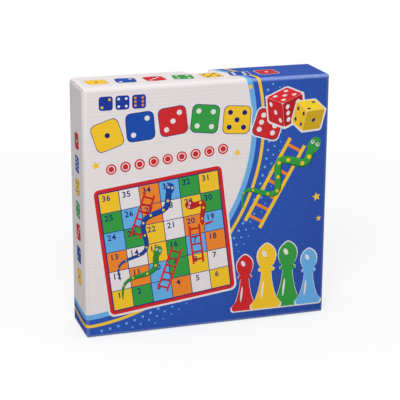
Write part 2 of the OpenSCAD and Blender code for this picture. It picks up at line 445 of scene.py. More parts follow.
class Nodes:
    """A node tree and how nodes are added to it."""

    def __init__(self, tree):
        self.tree = tree

    def add(self, kind, settings=(), inputs=(), output=0):
        """Adds a node: its settings first, then the values or links of its sockets."""
        node = self.tree.nodes.new("ShaderNode" + kind)
        for name, setting in dict(settings).items():
            setattr(node, name, setting)
        for key, value in dict(inputs).items():
            self.feed(node.inputs[key], value)
        return Value(self, node.outputs[output])

    def feed(self, socket, value):
        if isinstance(value, Value):
            self.tree.links.new(value.socket, socket)
        else:
            socket.default_value = value

    def seen(self):
        """1 for what the camera sees, straight or in a reflection."""
        path = self.add("LightPath", output="Is Camera Ray")
        return path.most(path.also("Is Glossy Ray")).most(path.also("Is Transmission Ray"))


class Finish(Nodes):
    """A material whose patterns lie in the piece's own frame."""

    def __init__(self, name):
        self.material = bpy.data.materials.new(name)
        self.material.use_nodes = True
        super().__init__(self.material.node_tree)
        self.shader = self.tree.nodes["Principled BSDF"]
        self.point = self.add("TexCoord", output="Object")

    def set(self, **inputs):
        """Feeds the surface shader; a name's underscores stand for spaces."""
        for name, value in inputs.items():
            self.feed(self.shader.inputs[name.replace("_", " ")], value)

    def axes(self):
        x = self.add("SeparateXYZ", inputs={0: self.point})
        return x, x.also(1), x.also(2)

    def noise(self, scale, detail=2.0):
        inputs = {"Vector": self.point, "Scale": scale, "Detail": detail}
        return self.add("TexNoise", inputs=inputs)

    def blend(self, share, first, second):
        """A colour from the first at share 0 to the second at share 1."""
        settings = {"data_type": "RGBA"}
        return self.add("Mix", settings, {0: share, 6: first, 7: second}, output=2)

    def bump(self, height):
        """Feeds a height in metres to the surface's normal."""
        self.set(Normal=self.add("Bump", inputs={"Height": height, "Distance": 1.0}))


def sizes(context):
    """Settings of the colours, the card and the cover."""
    return context.scene.game_set_colours, context.scene.game_set_card, context.scene.game_set_cover


def fluted_relief(finish, card, up):
    """Height of the paper over fluted card: a washboard, stronger in patches, and grain."""
    washboard = up.wave(card.flute_pitch) * card.flute_depth
    strong = finish.noise(PATCH_SCALE, 1.0).ramp(0.35, 0.7)
    patches = WASHBOARD_SHARE + (1 - WASHBOARD_SHARE) * strong
    grain = finish.noise(card.grain_scale, 3.0) * card.grain_depth
    return washboard * patches + grain


def fluted_card(context, name, low, high, fold, from_face, field):
    """Printed fluted card, folded: print outside, liner inside, flutes at the cut edges."""
    colours, card, _ = sizes(context)
    finish = Finish(name)
    x, y, z = finish.axes()
    middle = (low + high) / 2
    half = (high - low) / 2
    from_side = abs(x - middle.x) - half.x
    from_end = abs(z - middle.z) - half.z
    inward = from_face(y)

    # Place in the card's section, which goes round the folds, and on the print, laid out flat
    across = (from_side + fold).most(0)
    upright = (from_end + fold).most(0)
    front = (fold - inward).most(0)
    skin = (across * across + upright * upright + front * front).root()
    layer = (skin - (fold - CARD)) / CARD
    wall = (inward - fold).most(0)
    right = x + wall * (x - middle.x).sign() * (across > upright)
    up = z + wall * (z - middle.z).sign() * (upright > across)

    # The folds carry a painted sheen on the blue, and paper rubbed through the print
    start, full = (share * fold for share in FOLD_SHARES)
    upright_folds = UPRIGHT_FOLD_SHARE * across.least(front).ramp(start, full)
    folds = upright.least(front).ramp(start, full).most(upright_folds)
    printed = field(finish, right, up, folds)
    specks = finish.noise(SPECK_SCALE, 3.0)
    rubbed = folds * (RUB_SHARE + FLECK_SHARE * specks.ramp(0.52, 0.68))
    printed = finish.blend(rubbed, printed, rgba(colours.white))
    printed = finish.blend(specks * SPECK_SHARE, printed, rgba(colours.liner))

    start, full = (share * CARD for share in SEAM_SHARES)
    past_end = from_side + WALL_TRIM
    under_wall = from_end + CARD
    seam = 1 - (past_end * past_end + under_wall * under_wall).root().ramp(start, full)
    broken = SEAM_FAINT_SHARE + SEAM_BROKEN_SHARE * finish.noise(SEAM_SCALE, 3.0).ramp(0.4, 0.6)
    printed = finish.blend(broken * seam, printed, rgba(colours.hollow))

    # Cut edges: the flute paper over painted shade where the flutes' hollows are
    flute_middle = 0.5 + FLUTE_SWING_SHARE * z.wave(card.flute_pitch)
    flute = abs(layer - flute_middle) < FLUTE_WIDTH_SHARE
    cut = finish.blend(flute, rgba(colours.hollow), rgba(colours.kraft))
    liner = finish.blend(finish.noise(LINER_SCALE, 4.0) * 0.4, rgba(colours.liner), rgba(colours.white))
    inside = finish.blend(layer > LINER_SHARE, liner, cut)
    outside = layer > PRINT_SHARE
    finish.set(Base_Color=finish.blend(outside, inside, printed))
    satin = card.satin + card.uneven * finish.noise(GLOSS_SCALE)
    finish.set(Roughness=card.matt - (card.matt - satin) * outside)
    finish.set(Coat_Weight=card.varnish * outside)
    finish.set(Coat_Roughness=card.varnish_rough, Specular_IOR_Level=0.0)
    finish.bump(fluted_relief(finish, card, up))
    return finish.material


def cover_field(context):
    """The print's ground: a white disc with two rings on shaded blue."""
    colours, card, cover = sizes(context)

    def field(finish, right, up, folds):
        from_right = right - cover.disc_right
        from_up = up - cover.disc_up
        radius = (from_right * from_right + from_up * from_up).root()
        soft = card.print_edge

        def past(start):
            return radius.ramp(start - soft, start + soft)

        ring_end = cover.disc_radius + cover.ring
        thin_start = ring_end + cover.ring
        shade = 0.5 * radius.ramp(cover.disc_radius, 2 * cover.disc_radius)
        ground = finish.blend(shade, rgba(colours.blue, 1.1), rgba(colours.deep_blue, 1.4))
        # Painted sheen along the folds, partly ink stretched thin there
        ground = finish.blend(folds * SHEEN_AND_STRETCH_SHARE, ground, rgba(colours.stretched))
        thin = past(thin_start) - past(thin_start + cover.thin_ring)
        ground = finish.blend(thin, ground, rgba(colours.yellow))
        ground = finish.blend(1 - past(ring_end), ground, rgba(colours.light_blue))
        return finish.blend(1 - past(cover.disc_radius), ground, rgba(colours.white))

    return field


@functools.cache
def ink(name, light=1.0):
    """Printing ink on card: even colour, satin varnish, the card's washboard and grain."""
    colours, card, _ = sizes(bpy.context)
    label = f"ink_{name}" if light == 1 else f"ink_{name}_{round(100 * light)}"
    finish = Finish(label)
    finish.set(Base_Color=rgba(getattr(colours, name), light))
    finish.set(Roughness=card.satin + card.uneven * finish.noise(GLOSS_SCALE))
    finish.set(Coat_Weight=card.varnish, Coat_Roughness=card.varnish_rough, Specular_IOR_Level=0.0)
    finish.bump(fluted_relief(finish, card, finish.axes()[2]))
    return finish.material


def pip_ink(fill):
    """Ink of the pips on a fill of this name."""
    return ink("deep_blue" if fill == "yellow" else "white")


def select_only(piece):
    bpy.ops.object.select_all(action="DESELECT")
    piece.select_set(True)
    bpy.context.view_layer.objects.active = piece


def start_piece(add, **settings):
    """Adds a primitive alone in the selection and opens it in edit mode, selected all over."""
    bpy.ops.object.select_all(action="DESELECT")
    add(**settings)
    bpy.ops.object.mode_set(mode="EDIT")
    bpy.ops.mesh.select_all(action="SELECT")
    return bpy.context.object


def select_points(piece, test):
    """In edit mode, selects the points that pass a test."""
    bpy.ops.mesh.select_mode(type="VERT")
    bpy.ops.mesh.select_all(action="DESELECT")
    bpy.ops.object.mode_set(mode="OBJECT")
    for point in piece.data.vertices:
        point.select = test(point)
    bpy.ops.object.mode_set(mode="EDIT")


def close_stamp(piece):
    """Gives a flat outline unit thickness and keeps its mesh for copying."""
    bpy.ops.mesh.select_all(action="SELECT")
    bpy.ops.mesh.extrude_region_move(TRANSFORM_OT_translate={"value": (0, 0, 1)})
    bpy.ops.mesh.select_all(action="SELECT")
    bpy.ops.mesh.normals_make_consistent(inside=False)
    bpy.ops.object.mode_set(mode="OBJECT")
    mesh = piece.data
    bpy.data.objects.remove(piece)
    return mesh


@functools.cache
def square_stamp(corner_share=0.0):
    """A square of unit size; a share of its edge gives it round corners."""
    piece = start_piece(bpy.ops.mesh.primitive_plane_add, size=1)
    if corner_share:
        bpy.ops.mesh.bevel(offset=corner_share, segments=5, affect="VERTICES")
    return close_stamp(piece)


@functools.cache
def disc_stamp(sides=28):
    piece = start_piece(
        bpy.ops.mesh.primitive_circle_add, vertices=sides, radius=0.5, fill_type="NGON"
    )
    return close_stamp(piece)


@functools.cache
def triangle_stamp():
    """The lower quarter of a unit square, with its point in the middle."""
    piece = start_piece(bpy.ops.mesh.primitive_plane_add, size=1)
    select_points(piece, lambda point: point.co.y > 0)
    bpy.ops.mesh.merge(type="CENTER")
    bpy.ops.transform.translate(value=(0, -0.5, 0))
    return close_stamp(piece)


@functools.cache
def star_stamp():
    piece = start_piece(
        bpy.ops.mesh.primitive_circle_add, vertices=10, radius=0.5, fill_type="NGON"
    )
    select_points(piece, lambda point: point.index % 2 == 1)
    bpy.ops.transform.resize(value=(0.45, 0.45, 1), center_override=(0, 0, 0))
    return close_stamp(piece)


@functools.cache
def pawn_stamp():
    """A pawn's outline, one unit wide and high, cut into rows that are drawn in."""
    piece = start_piece(bpy.ops.mesh.primitive_plane_add, size=1)
    for up, _ in PAWN_SHARES[1:-1]:
        bpy.ops.mesh.select_all(action="SELECT")
        bpy.ops.mesh.bisect(plane_co=(0, up - 0.5, 0), plane_no=(0, 1, 0))
    for up, width in PAWN_SHARES:
        select_points(piece, lambda point, row=up - 0.5: abs(point.co.y - row) < 1e-4)
        bpy.ops.transform.resize(value=(width, 1, 1), center_override=(0, 0, 0))
    return close_stamp(piece)


@functools.cache
def digit_stamp(digit):
    """A digit of unit height, standing on its middle."""
    bpy.ops.object.select_all(action="DESELECT")
    bpy.ops.object.text_add()
    text = bpy.context.object
    text.data.body = digit
    text.data.resolution_u = 3
    text.data.offset = 0.018
    bpy.ops.object.convert(target="MESH")
    piece = bpy.context.object
    across = [point.co.x for point in piece.data.vertices]
    up = [point.co.y for point in piece.data.vertices]
    size = 1 / (max(up) - min(up))
    middle = Vector(((max(across) + min(across)) / 2, (max(up) + min(up)) / 2, 0))
    piece.data.transform(Matrix.Scale(size, 4) @ Matrix.Translation(-middle))
    bpy.ops.object.mode_set(mode="EDIT")
    bpy.ops.mesh.select_all(action="SELECT")
    bpy.ops.mesh.remove_doubles(threshold=1e-4)
    return close_stamp(piece)


def at(right, up, width=1.0, height=None, turn=0.0):
    """Place of a stamp on its print: its middle, size and turn."""
    size = Matrix.Diagonal((width, height or width, 1, 1))
    return Matrix.Translation((right, up, 0)) @ Matrix.Rotation(turn, 4, "Z") @ size


def skewed(middle, across, along):
    """Place of a unit square that is drawn as a slanted one."""
    return Matrix(
        (
            (across.x, along.x, 0, middle.x),
            (across.y, along.y, 0, middle.y),
            (0, 0, 1, 0),
            (0, 0, 0, 1),
        )
    )


class Print:
    """A flat printed place: plates of ink in layers, joined into one piece."""

    def __init__(self, origin, right, up, step):
        right, up = Vector(right), Vector(up)
        turn = Matrix((right, up, right.cross(up))).transposed().to_4x4()
        self.frame = Matrix.Translation(origin) @ turn
        self.step = step
        self.plates = []

    def keep(self, mesh, place, colour_ink):
        mesh.transform(self.frame @ place)
        mesh.materials.clear()
        mesh.materials.append(colour_ink)
        plate = bpy.data.objects.new("plate", mesh)
        bpy.context.scene.collection.objects.link(plate)
        self.plates.append(plate)

    def plate(self, stamp, colour_ink, place, layer):
        """A copy of a stamp that stands as high as its layer of ink."""
        height = Matrix.Diagonal((1, 1, layer * self.step, 1))
        self.keep(stamp.copy(), place @ height, colour_ink)

    def number(self, value, colour_ink, place, height, layer):
        """A plain number with its middle at the place."""
        digits = str(value)
        for index, digit in enumerate(digits):
            right = (index - (len(digits) - 1) / 2) * DIGIT_PITCH_SHARE * height
            self.plate(digit_stamp(digit), colour_ink, place @ at(right, 0, height), layer)

    def rims(self, place, edge, rims):
        """Squares under a square print, the lowest first: colour, added width, share of round corner."""
        for layer, (name, added, corner_share) in enumerate(rims, 1):
            rim = place @ at(0, 0, edge + added)
            self.plate(square_stamp(corner_share), ink(name), rim, layer)

    def pips(self, square, count, colour_ink, layer):
        """Pips of a die on a unit square."""
        for right, up in PIP_SHARES[count - 1]:
            spot = square @ at(PIP_PLACE_SHARE * right, PIP_PLACE_SHARE * up, PIP_WIDTH_SHARE)
            self.plate(disc_stamp(16), colour_ink, spot, layer)

    def die_tile(self, place, edge, count, fill, mark, layer, rim=0.0):
        """A die's face seen square on; a rim adds outlines of deep blue and white."""
        tile = square_stamp(TILE_CORNER_SHARE)
        if rim:
            self.plate(tile, ink("white"), place @ at(0, 0, edge + 3 * rim), layer)
            self.plate(tile, ink("deep_blue"), place @ at(0, 0, edge + rim), layer + 1)
        square = place @ at(0, 0, edge)
        self.plate(tile, fill, square, layer + 2)
        self.pips(square, count, mark, layer + 3)

    def ladder(self, place, low, high, width, rail_width, rails, rungs, layer):
        """Two rails from a low to a high point, with rungs between them."""
        run = high - low
        turn = math.atan2(run.y, run.x)
        beside = Vector((-run.y, run.x)).normalized() * (width / 2)
        count = max(3, round(run.length / (RUNG_PITCH_SHARE * width)))
        for index in range(count):
            middle = low + run * ((index + 0.5) / count)
            rung = at(middle.x, middle.y, rail_width * RUNG_SHARE, width, turn)
            self.plate(square_stamp(), rungs, place @ rung, layer)
        for side in (-1, 1):
            middle = (low + high) / 2 + side * beside
            rail = at(middle.x, middle.y, run.length, rail_width, turn)
            self.plate(square_stamp(), rails, place @ rail, layer + 1)

    def snake(self, place, head, tail, width, waves, sway, body, spots, layer):
        """A winding body that thins towards its tail, with spots and two eyes."""
        run = tail - head
        beside = Vector((-run.y, run.x)).normalized()

        def path(share):
            swing = sway * math.sin(math.tau * waves * share) * min(1, 4 * share + 0.1)
            return head + run * share + beside * swing

        def half_width(share):
            return width / 2 * (1 - TAIL_THIN_SHARE * share * share)

        curve = bpy.data.curves.new("snake", "CURVE")
        curve.dimensions = "3D"
        curve.bevel_depth = 1
        curve.bevel_resolution = 1
        curve.use_fill_caps = True
        spline = curve.splines.new("POLY")
        steps = 12 * waves
        spline.points.add(steps)
        for index, point in enumerate(spline.points):
            share = index / steps
            point.co = (*path(share), 0, 1)
            point.radius = half_width(share)
        piece = bpy.data.objects.new("snake", curve)
        bpy.context.scene.collection.objects.link(piece)
        select_only(piece)
        bpy.ops.object.convert(target="MESH")
        mesh = bpy.context.object.data
        bpy.data.objects.remove(bpy.context.object)
        flat = Matrix.Diagonal((1, 1, self.step / (width / 2), 1))
        self.keep(mesh, place @ Matrix.Translation((0, 0, layer * self.step)) @ flat, body)
        for index in range(1, 5 * waves):
            share = index / (5 * waves)
            spot = at(*path(share), half_width(share) * SPOT_SHARE)
            self.plate(disc_stamp(12), spots, place @ spot, layer + 2)
        facing = path(0) - path(0.04)
        face = place @ at(*head, width, turn=math.atan2(facing.y, facing.x))
        self.plate(disc_stamp(), body, face @ at(*HEAD_SHARES), layer + 2)
        forward, apart, size = EYE_SHARES
        for side in (-1, 1):
            eye = face @ at(forward, side * apart)
            self.plate(disc_stamp(12), ink("white"), eye @ at(0, 0, size), layer + 3)
            self.plate(disc_stamp(12), ink("deep_blue"), eye @ at(*PUPIL_SHARES), layer + 4)

    def ladders_grid(self, place, count, cell, line, ladders, snakes, layer):
        """A numbered grid whose rows run to and fro, with ladders and snakes."""
        number_right, number_up, number_height = (share * cell for share in NUMBER_SHARES)
        ladder_sizes = [share * cell for share in LADDER_SHARES]
        snake_width, sway, wave = (share * cell for share in SNAKE_SHARES)

        def middle(number):
            row, column = divmod(number - 1, count)
            if row % 2:
                column = count - 1 - column
            return Vector((column - (count - 1) / 2, row - (count - 1) / 2)) * cell

        for number in range(1, count * count + 1):
            square = place @ at(*middle(number))
            row, column = divmod(number - 1, count)
            fill = ink(SQUARE_COLOURS[(2 * row + 3 * column) % len(SQUARE_COLOURS)])
            self.plate(square_stamp(), fill, square @ at(0, 0, cell - line), layer)
            corner = square @ at(number_right, number_up)
            self.number(number, ink("deep_blue"), corner, number_height, layer + 1)
        for low, high in ladders:
            ends = (middle(low), middle(high))
            self.ladder(place, *ends, *ladder_sizes, ink("red"), ink("red", 0.7), layer + 2)
        for index, (head, tail) in enumerate(snakes):
            body = ink(SNAKE_COLOURS[index % len(SNAKE_COLOURS)], 0.8)
            ends = (middle(head), middle(tail))
            waves = max(1, round((ends[1] - ends[0]).length / wave))
            self.snake(place, *ends, snake_width, waves, sway, body, ink("yellow"), layer + 4)

    def ludo_cross(self, place, cell, line, layer):
        """The traditional ludo cross, 15 squares wide: four yards, the track and the four ways home."""
        self.plate(square_stamp(), ink("deep_blue"), place @ at(0, 0, 15 * cell + 4 * line), layer)
        for quarter, name in enumerate(("red", "green", "yellow", "blue")):
            arm = place @ Matrix.Rotation(-quarter * math.pi / 2, 4, "Z")
            fill = ink(name)
            yard = arm @ at(-4.5 * cell, -4.5 * cell)
            self.plate(square_stamp(), fill, yard @ at(0, 0, 6 * cell - line), layer + 1)
            self.plate(square_stamp(0.12), ink("white"), yard @ at(0, 0, 4.2 * cell), layer + 2)
            for right in (-1, 1):
                for up in (-1, 1):
                    spot = yard @ at(right * cell, up * cell)
                    self.plate(disc_stamp(), ink("deep_blue"), spot @ at(0, 0, 1.5 * cell), layer + 3)
                    self.plate(disc_stamp(), fill, spot @ at(0, 0, 1.5 * cell - 2 * line), layer + 4)
            for column in (-1, 0, 1):
                for row in range(2, 8):
                    home = column == 0 and row < 7
                    start = column == -1 and row == 6
                    own = fill if home or start else ink("white")
                    square = arm @ at(column * cell, -row * cell, cell - line)
                    self.plate(square_stamp(), own, square, layer + 1)
            wedge = arm @ at(0, 0, 3 * cell - 3 * line, 3 * cell - line)
            self.plate(triangle_stamp(), fill, wedge, layer + 1)

    def join(self, name, body, slot):
        """Joins the plates into one named piece that rides on a body."""
        bpy.ops.object.select_all(action="DESELECT")
        for plate in self.plates:
            plate.select_set(True)
        bpy.context.view_layer.objects.active = self.plates[0]
        bpy.ops.object.join()
        piece = bpy.context.object
        piece.name = name
        piece.data.name = name
        self.plates = []
        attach(piece, body)


def lid_faces(cover):
    """The lid's printed places, on its card: face, left, right and upper wall."""
    room, step = cover.ink_room, cover.ink_step
    middle = (LID_LOW + LID_HIGH) / 2
    face = Print((middle.x, LID_LOW.y + room, LID_LOW.z), (1, 0, 0), (0, 0, 1), step)
    left = Print((LID_LOW.x + room, middle.y, middle.z), (0, -1, 0), (0, 0, 1), step)
    right = Print((LID_HIGH.x - room, middle.y, middle.z), (0, 1, 0), (0, 0, 1), step)
    upper = Print((middle.x, middle.y, LID_HIGH.z - room), (1, 0, 0), (0, 1, 0), step)
    return face, left, right, upper


def dress(material, *nodes):
    """Gives CAD nodes a finish."""
    for node in nodes:
        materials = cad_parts[node].data.materials
        materials.clear()
        materials.append(material)


class GAMESET_OT_lid_card(bpy.types.Operator):
    """Lid of printed fluted card, a little inside the CAD lid to leave room for the ink"""

    bl_idname = "gameset.lid_card"
    bl_label = "Lid card"

    def execute(self, context):
        room = context.scene.game_set_cover.ink_room
        card = bpy.data.objects.new("lid_card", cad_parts["lid_shell"].data.copy())
        context.scene.collection.objects.link(card)
        select_only(card)
        bpy.ops.mesh.customdata_custom_splitnormals_clear()
        bpy.ops.object.mode_set(mode="EDIT")
        bpy.ops.mesh.select_all(action="SELECT")
        bpy.ops.mesh.remove_doubles(threshold=1e-6)
        size = LID_HIGH - LID_LOW
        shares = (1 - 2 * room / size.x, 1 - room / size.y, 1 - room / size.z)
        pivot = ((LID_LOW.x + LID_HIGH.x) / 2, LID_HIGH.y, LID_LOW.z)
        bpy.ops.transform.resize(value=shares, center_override=pivot)
        bpy.ops.object.mode_set(mode="OBJECT")
        bpy.ops.object.shade_smooth_by_angle(angle=math.radians(30))
        bpy.ops.object.modifier_add(type="WEIGHTED_NORMAL")
        card.modifiers[-1].keep_sharp = True
        bpy.ops.object.modifier_apply(modifier=card.modifiers[-1].name)
        low = LID_LOW + Vector((room, room, 0))
        high = LID_HIGH - Vector((room, 0, room))
        material = fluted_card(
            context, "printed_card", low, high, LID_FOLD, lambda y: y - low.y, cover_field(context)
        )
        card.data.materials.clear()
        card.data.materials.append(material)
        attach(card, "lid")
        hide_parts("lid_shell")
        return {"FINISHED"}


class GAMESET_OT_cover_tiles(bpy.types.Operator):
    """Row of die faces on an arc over the top of the cover"""

    bl_idname = "gameset.cover_tiles"
    bl_label = "Cover tiles"

    def execute(self, context):
        cover = context.scene.game_set_cover
        face = lid_faces(cover)[0]
        fills = ("yellow", "blue", "red", "green", "yellow", "red")
        for index, fill in enumerate(fills):
            from_middle = (index - (len(fills) - 1) / 2) * cover.tile_pitch
            right = cover.tile_right + index * cover.tile_pitch
            up = cover.tile_up - cover.tile_bend * from_middle * from_middle
            turn = cover.tile_tilt * (-1) ** index - math.atan(2 * cover.tile_bend * from_middle)
            place = at(right, up, turn=turn)
            face.die_tile(place, cover.tile, index + 1, ink(fill), pip_ink(fill), 1, rim=cover.halo)
        for index, mark in enumerate(("yellow", "white", "orange")):
            place = at(cover.small_right + index * cover.small_pitch, cover.small_up)
            face.die_tile(place, cover.small_tile, 2 * index + 2, ink("deep_blue", 2), ink(mark), 1)
        row = at(cover.counters_right, cover.counters_up, turn=cover.counters_turn)
        for index in range(cover.counters):
            spot = row @ at((index - (cover.counters - 1) / 2) * cover.counter_pitch, 0)
            for layer, (name, share) in enumerate(COUNTER_SHARES, 1):
                face.plate(disc_stamp(), ink(name), spot @ at(0, 0, share * cover.counter), layer)
        face.join("cover_tiles", "lid", "printed_card")
        return {"FINISHED"}


class GAMESET_OT_cover_panel(bpy.types.Operator):
    """Small numbered game panel, set at a slant on the cover"""

    bl_idname = "gameset.cover_panel"
    bl_label = "Cover panel"

    def execute(self, context):
        cover = context.scene.game_set_cover
        line = context.scene.game_set_boards.line
        face = lid_faces(cover)[0]
        place = at(cover.panel_right, cover.panel_up, turn=cover.panel_turn)
        rims = (
            ("white", cover.panel_white, 0.05),
            ("red", cover.panel_red, 0.04),
            ("deep_blue", 2 * line, 0.0),
        )
        face.rims(place, cover.panel, rims)
        ladders = ((3, 16), (8, 20), (23, 34))
        snakes = ((15, 1), (33, 12), (29, 19))
        face.ladders_grid(place, 6, cover.panel / 6, line, ladders, snakes, 3.5)
        face.join("cover_panel", "lid", "printed_card")
        return {"FINISHED"}


class GAMESET_OT_cover_snake(bpy.types.Operator):
    """Large ladder with a snake across it, at the right of the cover"""

    bl_idname = "gameset.cover_snake"
    bl_label = "Cover snake and ladder"

    def execute(self, context):
        cover = context.scene.game_set_cover
        face = lid_faces(cover)[0]
        place = at(0, 0, MM)
        colours = (ink("yellow"), ink("orange"))
        face.ladder(place, Vector((44, 98)), Vector((88, 176)), 17, 3.4, *colours, 1)
        colours = (ink("green"), ink("yellow"))
        face.snake(place, Vector((104, 170)), Vector((34, 116)), 9, 2, 11, *colours, 3)
        face.join("cover_snake", "lid", "printed_card")
        return {"FINISHED"}


class GAMESET_OT_cover_pawns(bpy.types.Operator):
    """Four pawns in a row at the lower right of the cover"""

    bl_idname = "gameset.cover_pawns"
    bl_label = "Cover pawns"

    def execute(self, context):
        cover = context.scene.game_set_cover
        face = lid_faces(cover)[0]
        rim = 2 * cover.halo
        for index, name in enumerate(("red", "yellow", "green", "light_blue")):
            height = cover.pawn * (1 if index % 3 else OUTER_PAWN_SHARE)
            width = PAWN_WIDTH_SHARE * height
            foot = at(cover.pawn_right + index * cover.pawn_pitch, cover.pawn_up)
            middle = foot @ at(0, height / 2)
            layer = 1 + (index % 2) * 3
            face.plate(pawn_stamp(), ink("white"), middle @ at(0, 0, width + rim, height + rim), layer)
            face.plate(pawn_stamp(), ink(name), middle @ at(0, 0, width, height), layer + 1)
            for right, up, wide, high, turn in GLEAM_SHARES:
                gleam = foot @ at(right * width, up * height, wide * width, high * height, turn)
                face.plate(disc_stamp(16), ink("white"), gleam, layer + 2)
        face.join("cover_pawns", "lid", "printed_card")
        return {"FINISHED"}


class GAMESET_OT_cover_dice(bpy.types.Operator):
    """Two dice seen from a corner, at the upper right of the cover"""

    bl_idname = "gameset.cover_dice"
    bl_label = "Cover dice"

    def execute(self, context):
        cover = context.scene.game_set_cover
        face = lid_faces(cover)[0]

        # Colour, place and edge in millimetres, turn, pips of the top, left and right side
        dice = (
            ("red", 72, 214, 25, 0.1, (5, 3, 6)),
            ("yellow", 97, 205, 21, -0.25, (2, 4, 1)),
        )
        to_right, to_left, down = (Vector(edge) for edge in EDGE_SHARES)

        # Middle, two edges and lightness of each side
        sides = (
            ((to_right + to_left) / 2, to_right, to_left, 1.25),
            ((to_left + down) / 2, to_left, -down, 0.95),
            ((to_right + down) / 2, to_right, -down, 0.68),
        )
        for index, (name, right, up, edge, turn, counts) in enumerate(dice):
            place = at(right * MM, up * MM, turn=turn) @ at(0, 0, edge * MM)
            layer = 5 + 3 * index
            for (middle, across, along, light), count in zip(sides, counts):
                halo = place @ skewed(middle, across * HALO_SHARE, along * HALO_SHARE)
                face.plate(square_stamp(0.12), ink("white"), halo, layer + 0.2 * light)
                square = place @ skewed(middle, across * SIDE_SHARE, along * SIDE_SHARE)
                face.plate(square_stamp(0.08), ink(name, light), square, layer + 1)
                face.pips(square, count, pip_ink(name), layer + 2)
        face.join("cover_dice", "lid", "printed_card")
        return {"FINISHED"}


class GAMESET_OT_cover_dots(bpy.types.Operator):
    """Dots and stars on the blue of the cover, along the rings of its ground"""

    bl_idname = "gameset.cover_dots"
    bl_label = "Cover dots"

    def execute(self, context):
        cover = context.scene.game_set_cover
        face = lid_faces(cover)[0]
        edge = LID_HIGH.x - cover.dot_margin
        head = LID_HIGH.z - cover.dot_margin
        start = cover.disc_radius + 2 * cover.ring + cover.thin_ring + cover.dot_start
        dots = 72
        for ring, size in enumerate((2.6, 2.0, 1.4)):
            radius = start + ring * cover.dot_pitch
            for index in range(dots):
                turn = math.pi * ((index + ring / 2) / dots - 0.5)
                right = cover.disc_right + radius * math.cos(turn)
                up = cover.disc_up + radius * math.sin(turn)
                if abs(right) < edge and cover.dot_margin < up < head:
                    face.plate(disc_stamp(12), ink("light_blue"), at(right, up, size * MM), 0.5)

        # Place and width in millimetres, turn
        stars = (
            (109, 120, 9, 0.2),
            (28, 170, 8, 0.5),
            (112, 98, 6, 0.0),
            (-108, 168, 9, 0.3),
            (40, 232, 6, 0.1),
        )
        for right, up, size, turn in stars:
            star = at(right * MM, up * MM, size * MM, turn=turn)
            face.plate(star_stamp(), ink("yellow"), star, 0.8)
        face.join("cover_dots", "lid", "printed_card")
        return {"FINISHED"}


class GAMESET_OT_wall_tiles(bpy.types.Operator):
    """Rows of small die faces on the lid's walls"""

    bl_idname = "gameset.wall_tiles"
    bl_label = "Wall tiles"

    def execute(self, context):
        cover = context.scene.game_set_cover
        _, left, right, upper = lid_faces(cover)
        fills = ("yellow", "blue", "red", "green")
        for name, wall in (("left", left), ("right", right), ("upper", upper)):
            size = UPPER_TILE_SHARE if name == "upper" else 1
            for index in range(cover.wall_tiles):
                along = (index - (cover.wall_tiles - 1) / 2) * cover.wall_pitch * size
                spot = (cover.upper_right + along, 0) if name == "upper" else (0, along)
                place = at(*spot, turn=cover.wall_tilt * (-1) ** index)
                fill = fills[index % len(fills)]
                colours = (ink(fill), pip_ink(fill))
                pips = index % 6 + 1
                wall.die_tile(place, cover.wall_tile * size, pips, *colours, 1, rim=cover.halo / 2)
            wall.join(f"{name}_wall_tiles", "lid", "printed_card")
        return {"FINISHED"}


class GAMESET_OT_base_card(bpy.types.Operator):
    """Base of plain blue fluted card, with a ludo cross on its back"""

    bl_idname = "gameset.base_card"
    bl_label = "Base card"

    def execute(self, context):
        colours, _, cover = sizes(context)

        def field(finish, right, up, folds):
            tone = finish.noise(BASE_TONE_SCALE) * 0.5
            ground = finish.blend(tone, rgba(colours.blue), rgba(colours.deep_blue, 1.6))
            # Painted sheen along the folds, partly ink stretched thin there
            return finish.blend(folds * SHEEN_AND_STRETCH_SHARE, ground, rgba(colours.stretched))

        material = fluted_card(
            context, "base_card", BASE_LOW, BASE_HIGH, BASE_FOLD, lambda y: BASE_HIGH.y - y, field
        )
        dress(material, "base_shell")
        middle = (BASE_LOW + BASE_HIGH) / 2
        back = Print((middle.x, BASE_HIGH.y, middle.z), (-1, 0, 0), (0, 0, 1), cover.ink_step)
        place = at(0, 0)
        rims = (("white", cover.emblem_white, 0.04), ("yellow", cover.emblem_yellow, 0.03))
        back.rims(place, cover.emblem, rims)
        back.ludo_cross(place, cover.emblem / 15, context.scene.game_set_boards.line, 3)
        back.join("back_emblem", "base", "base_card")
        return {"FINISHED"}


class GAMESET_OT_insert_and_leaflet(bpy.types.Operator):
    """Finishes of the insert's card and of the leaflet's paper"""

    bl_idname = "gameset.insert_and_leaflet"
    bl_label = "Insert and leaflet"

    def execute(self, context):
        colours, card, _ = sizes(context)
        papers = (("insert_tray", "insert_card", 0.92), ("rules_leaflet", "leaflet_paper", 1.0))
        for node, slot, light in papers:
            finish = Finish(slot)
            fibres = finish.noise(PAPER_FIBRE_SCALE, 5.0)
            specks = finish.noise(PAPER_SPECK_SCALE, 2.0).ramp(0.66, 0.74)
            ground = finish.blend(fibres * 0.35, rgba(colours.paper, light), rgba(colours.liner))
            finish.set(Base_Color=finish.blend(specks * 0.3, ground, rgba(colours.kraft)))
            finish.set(Roughness=card.matt + card.uneven * fibres)
            finish.bump(finish.noise(card.grain_scale, 4.0) * (2 * card.grain_depth))
            dress(finish.material, node)
        return {"FINISHED"}


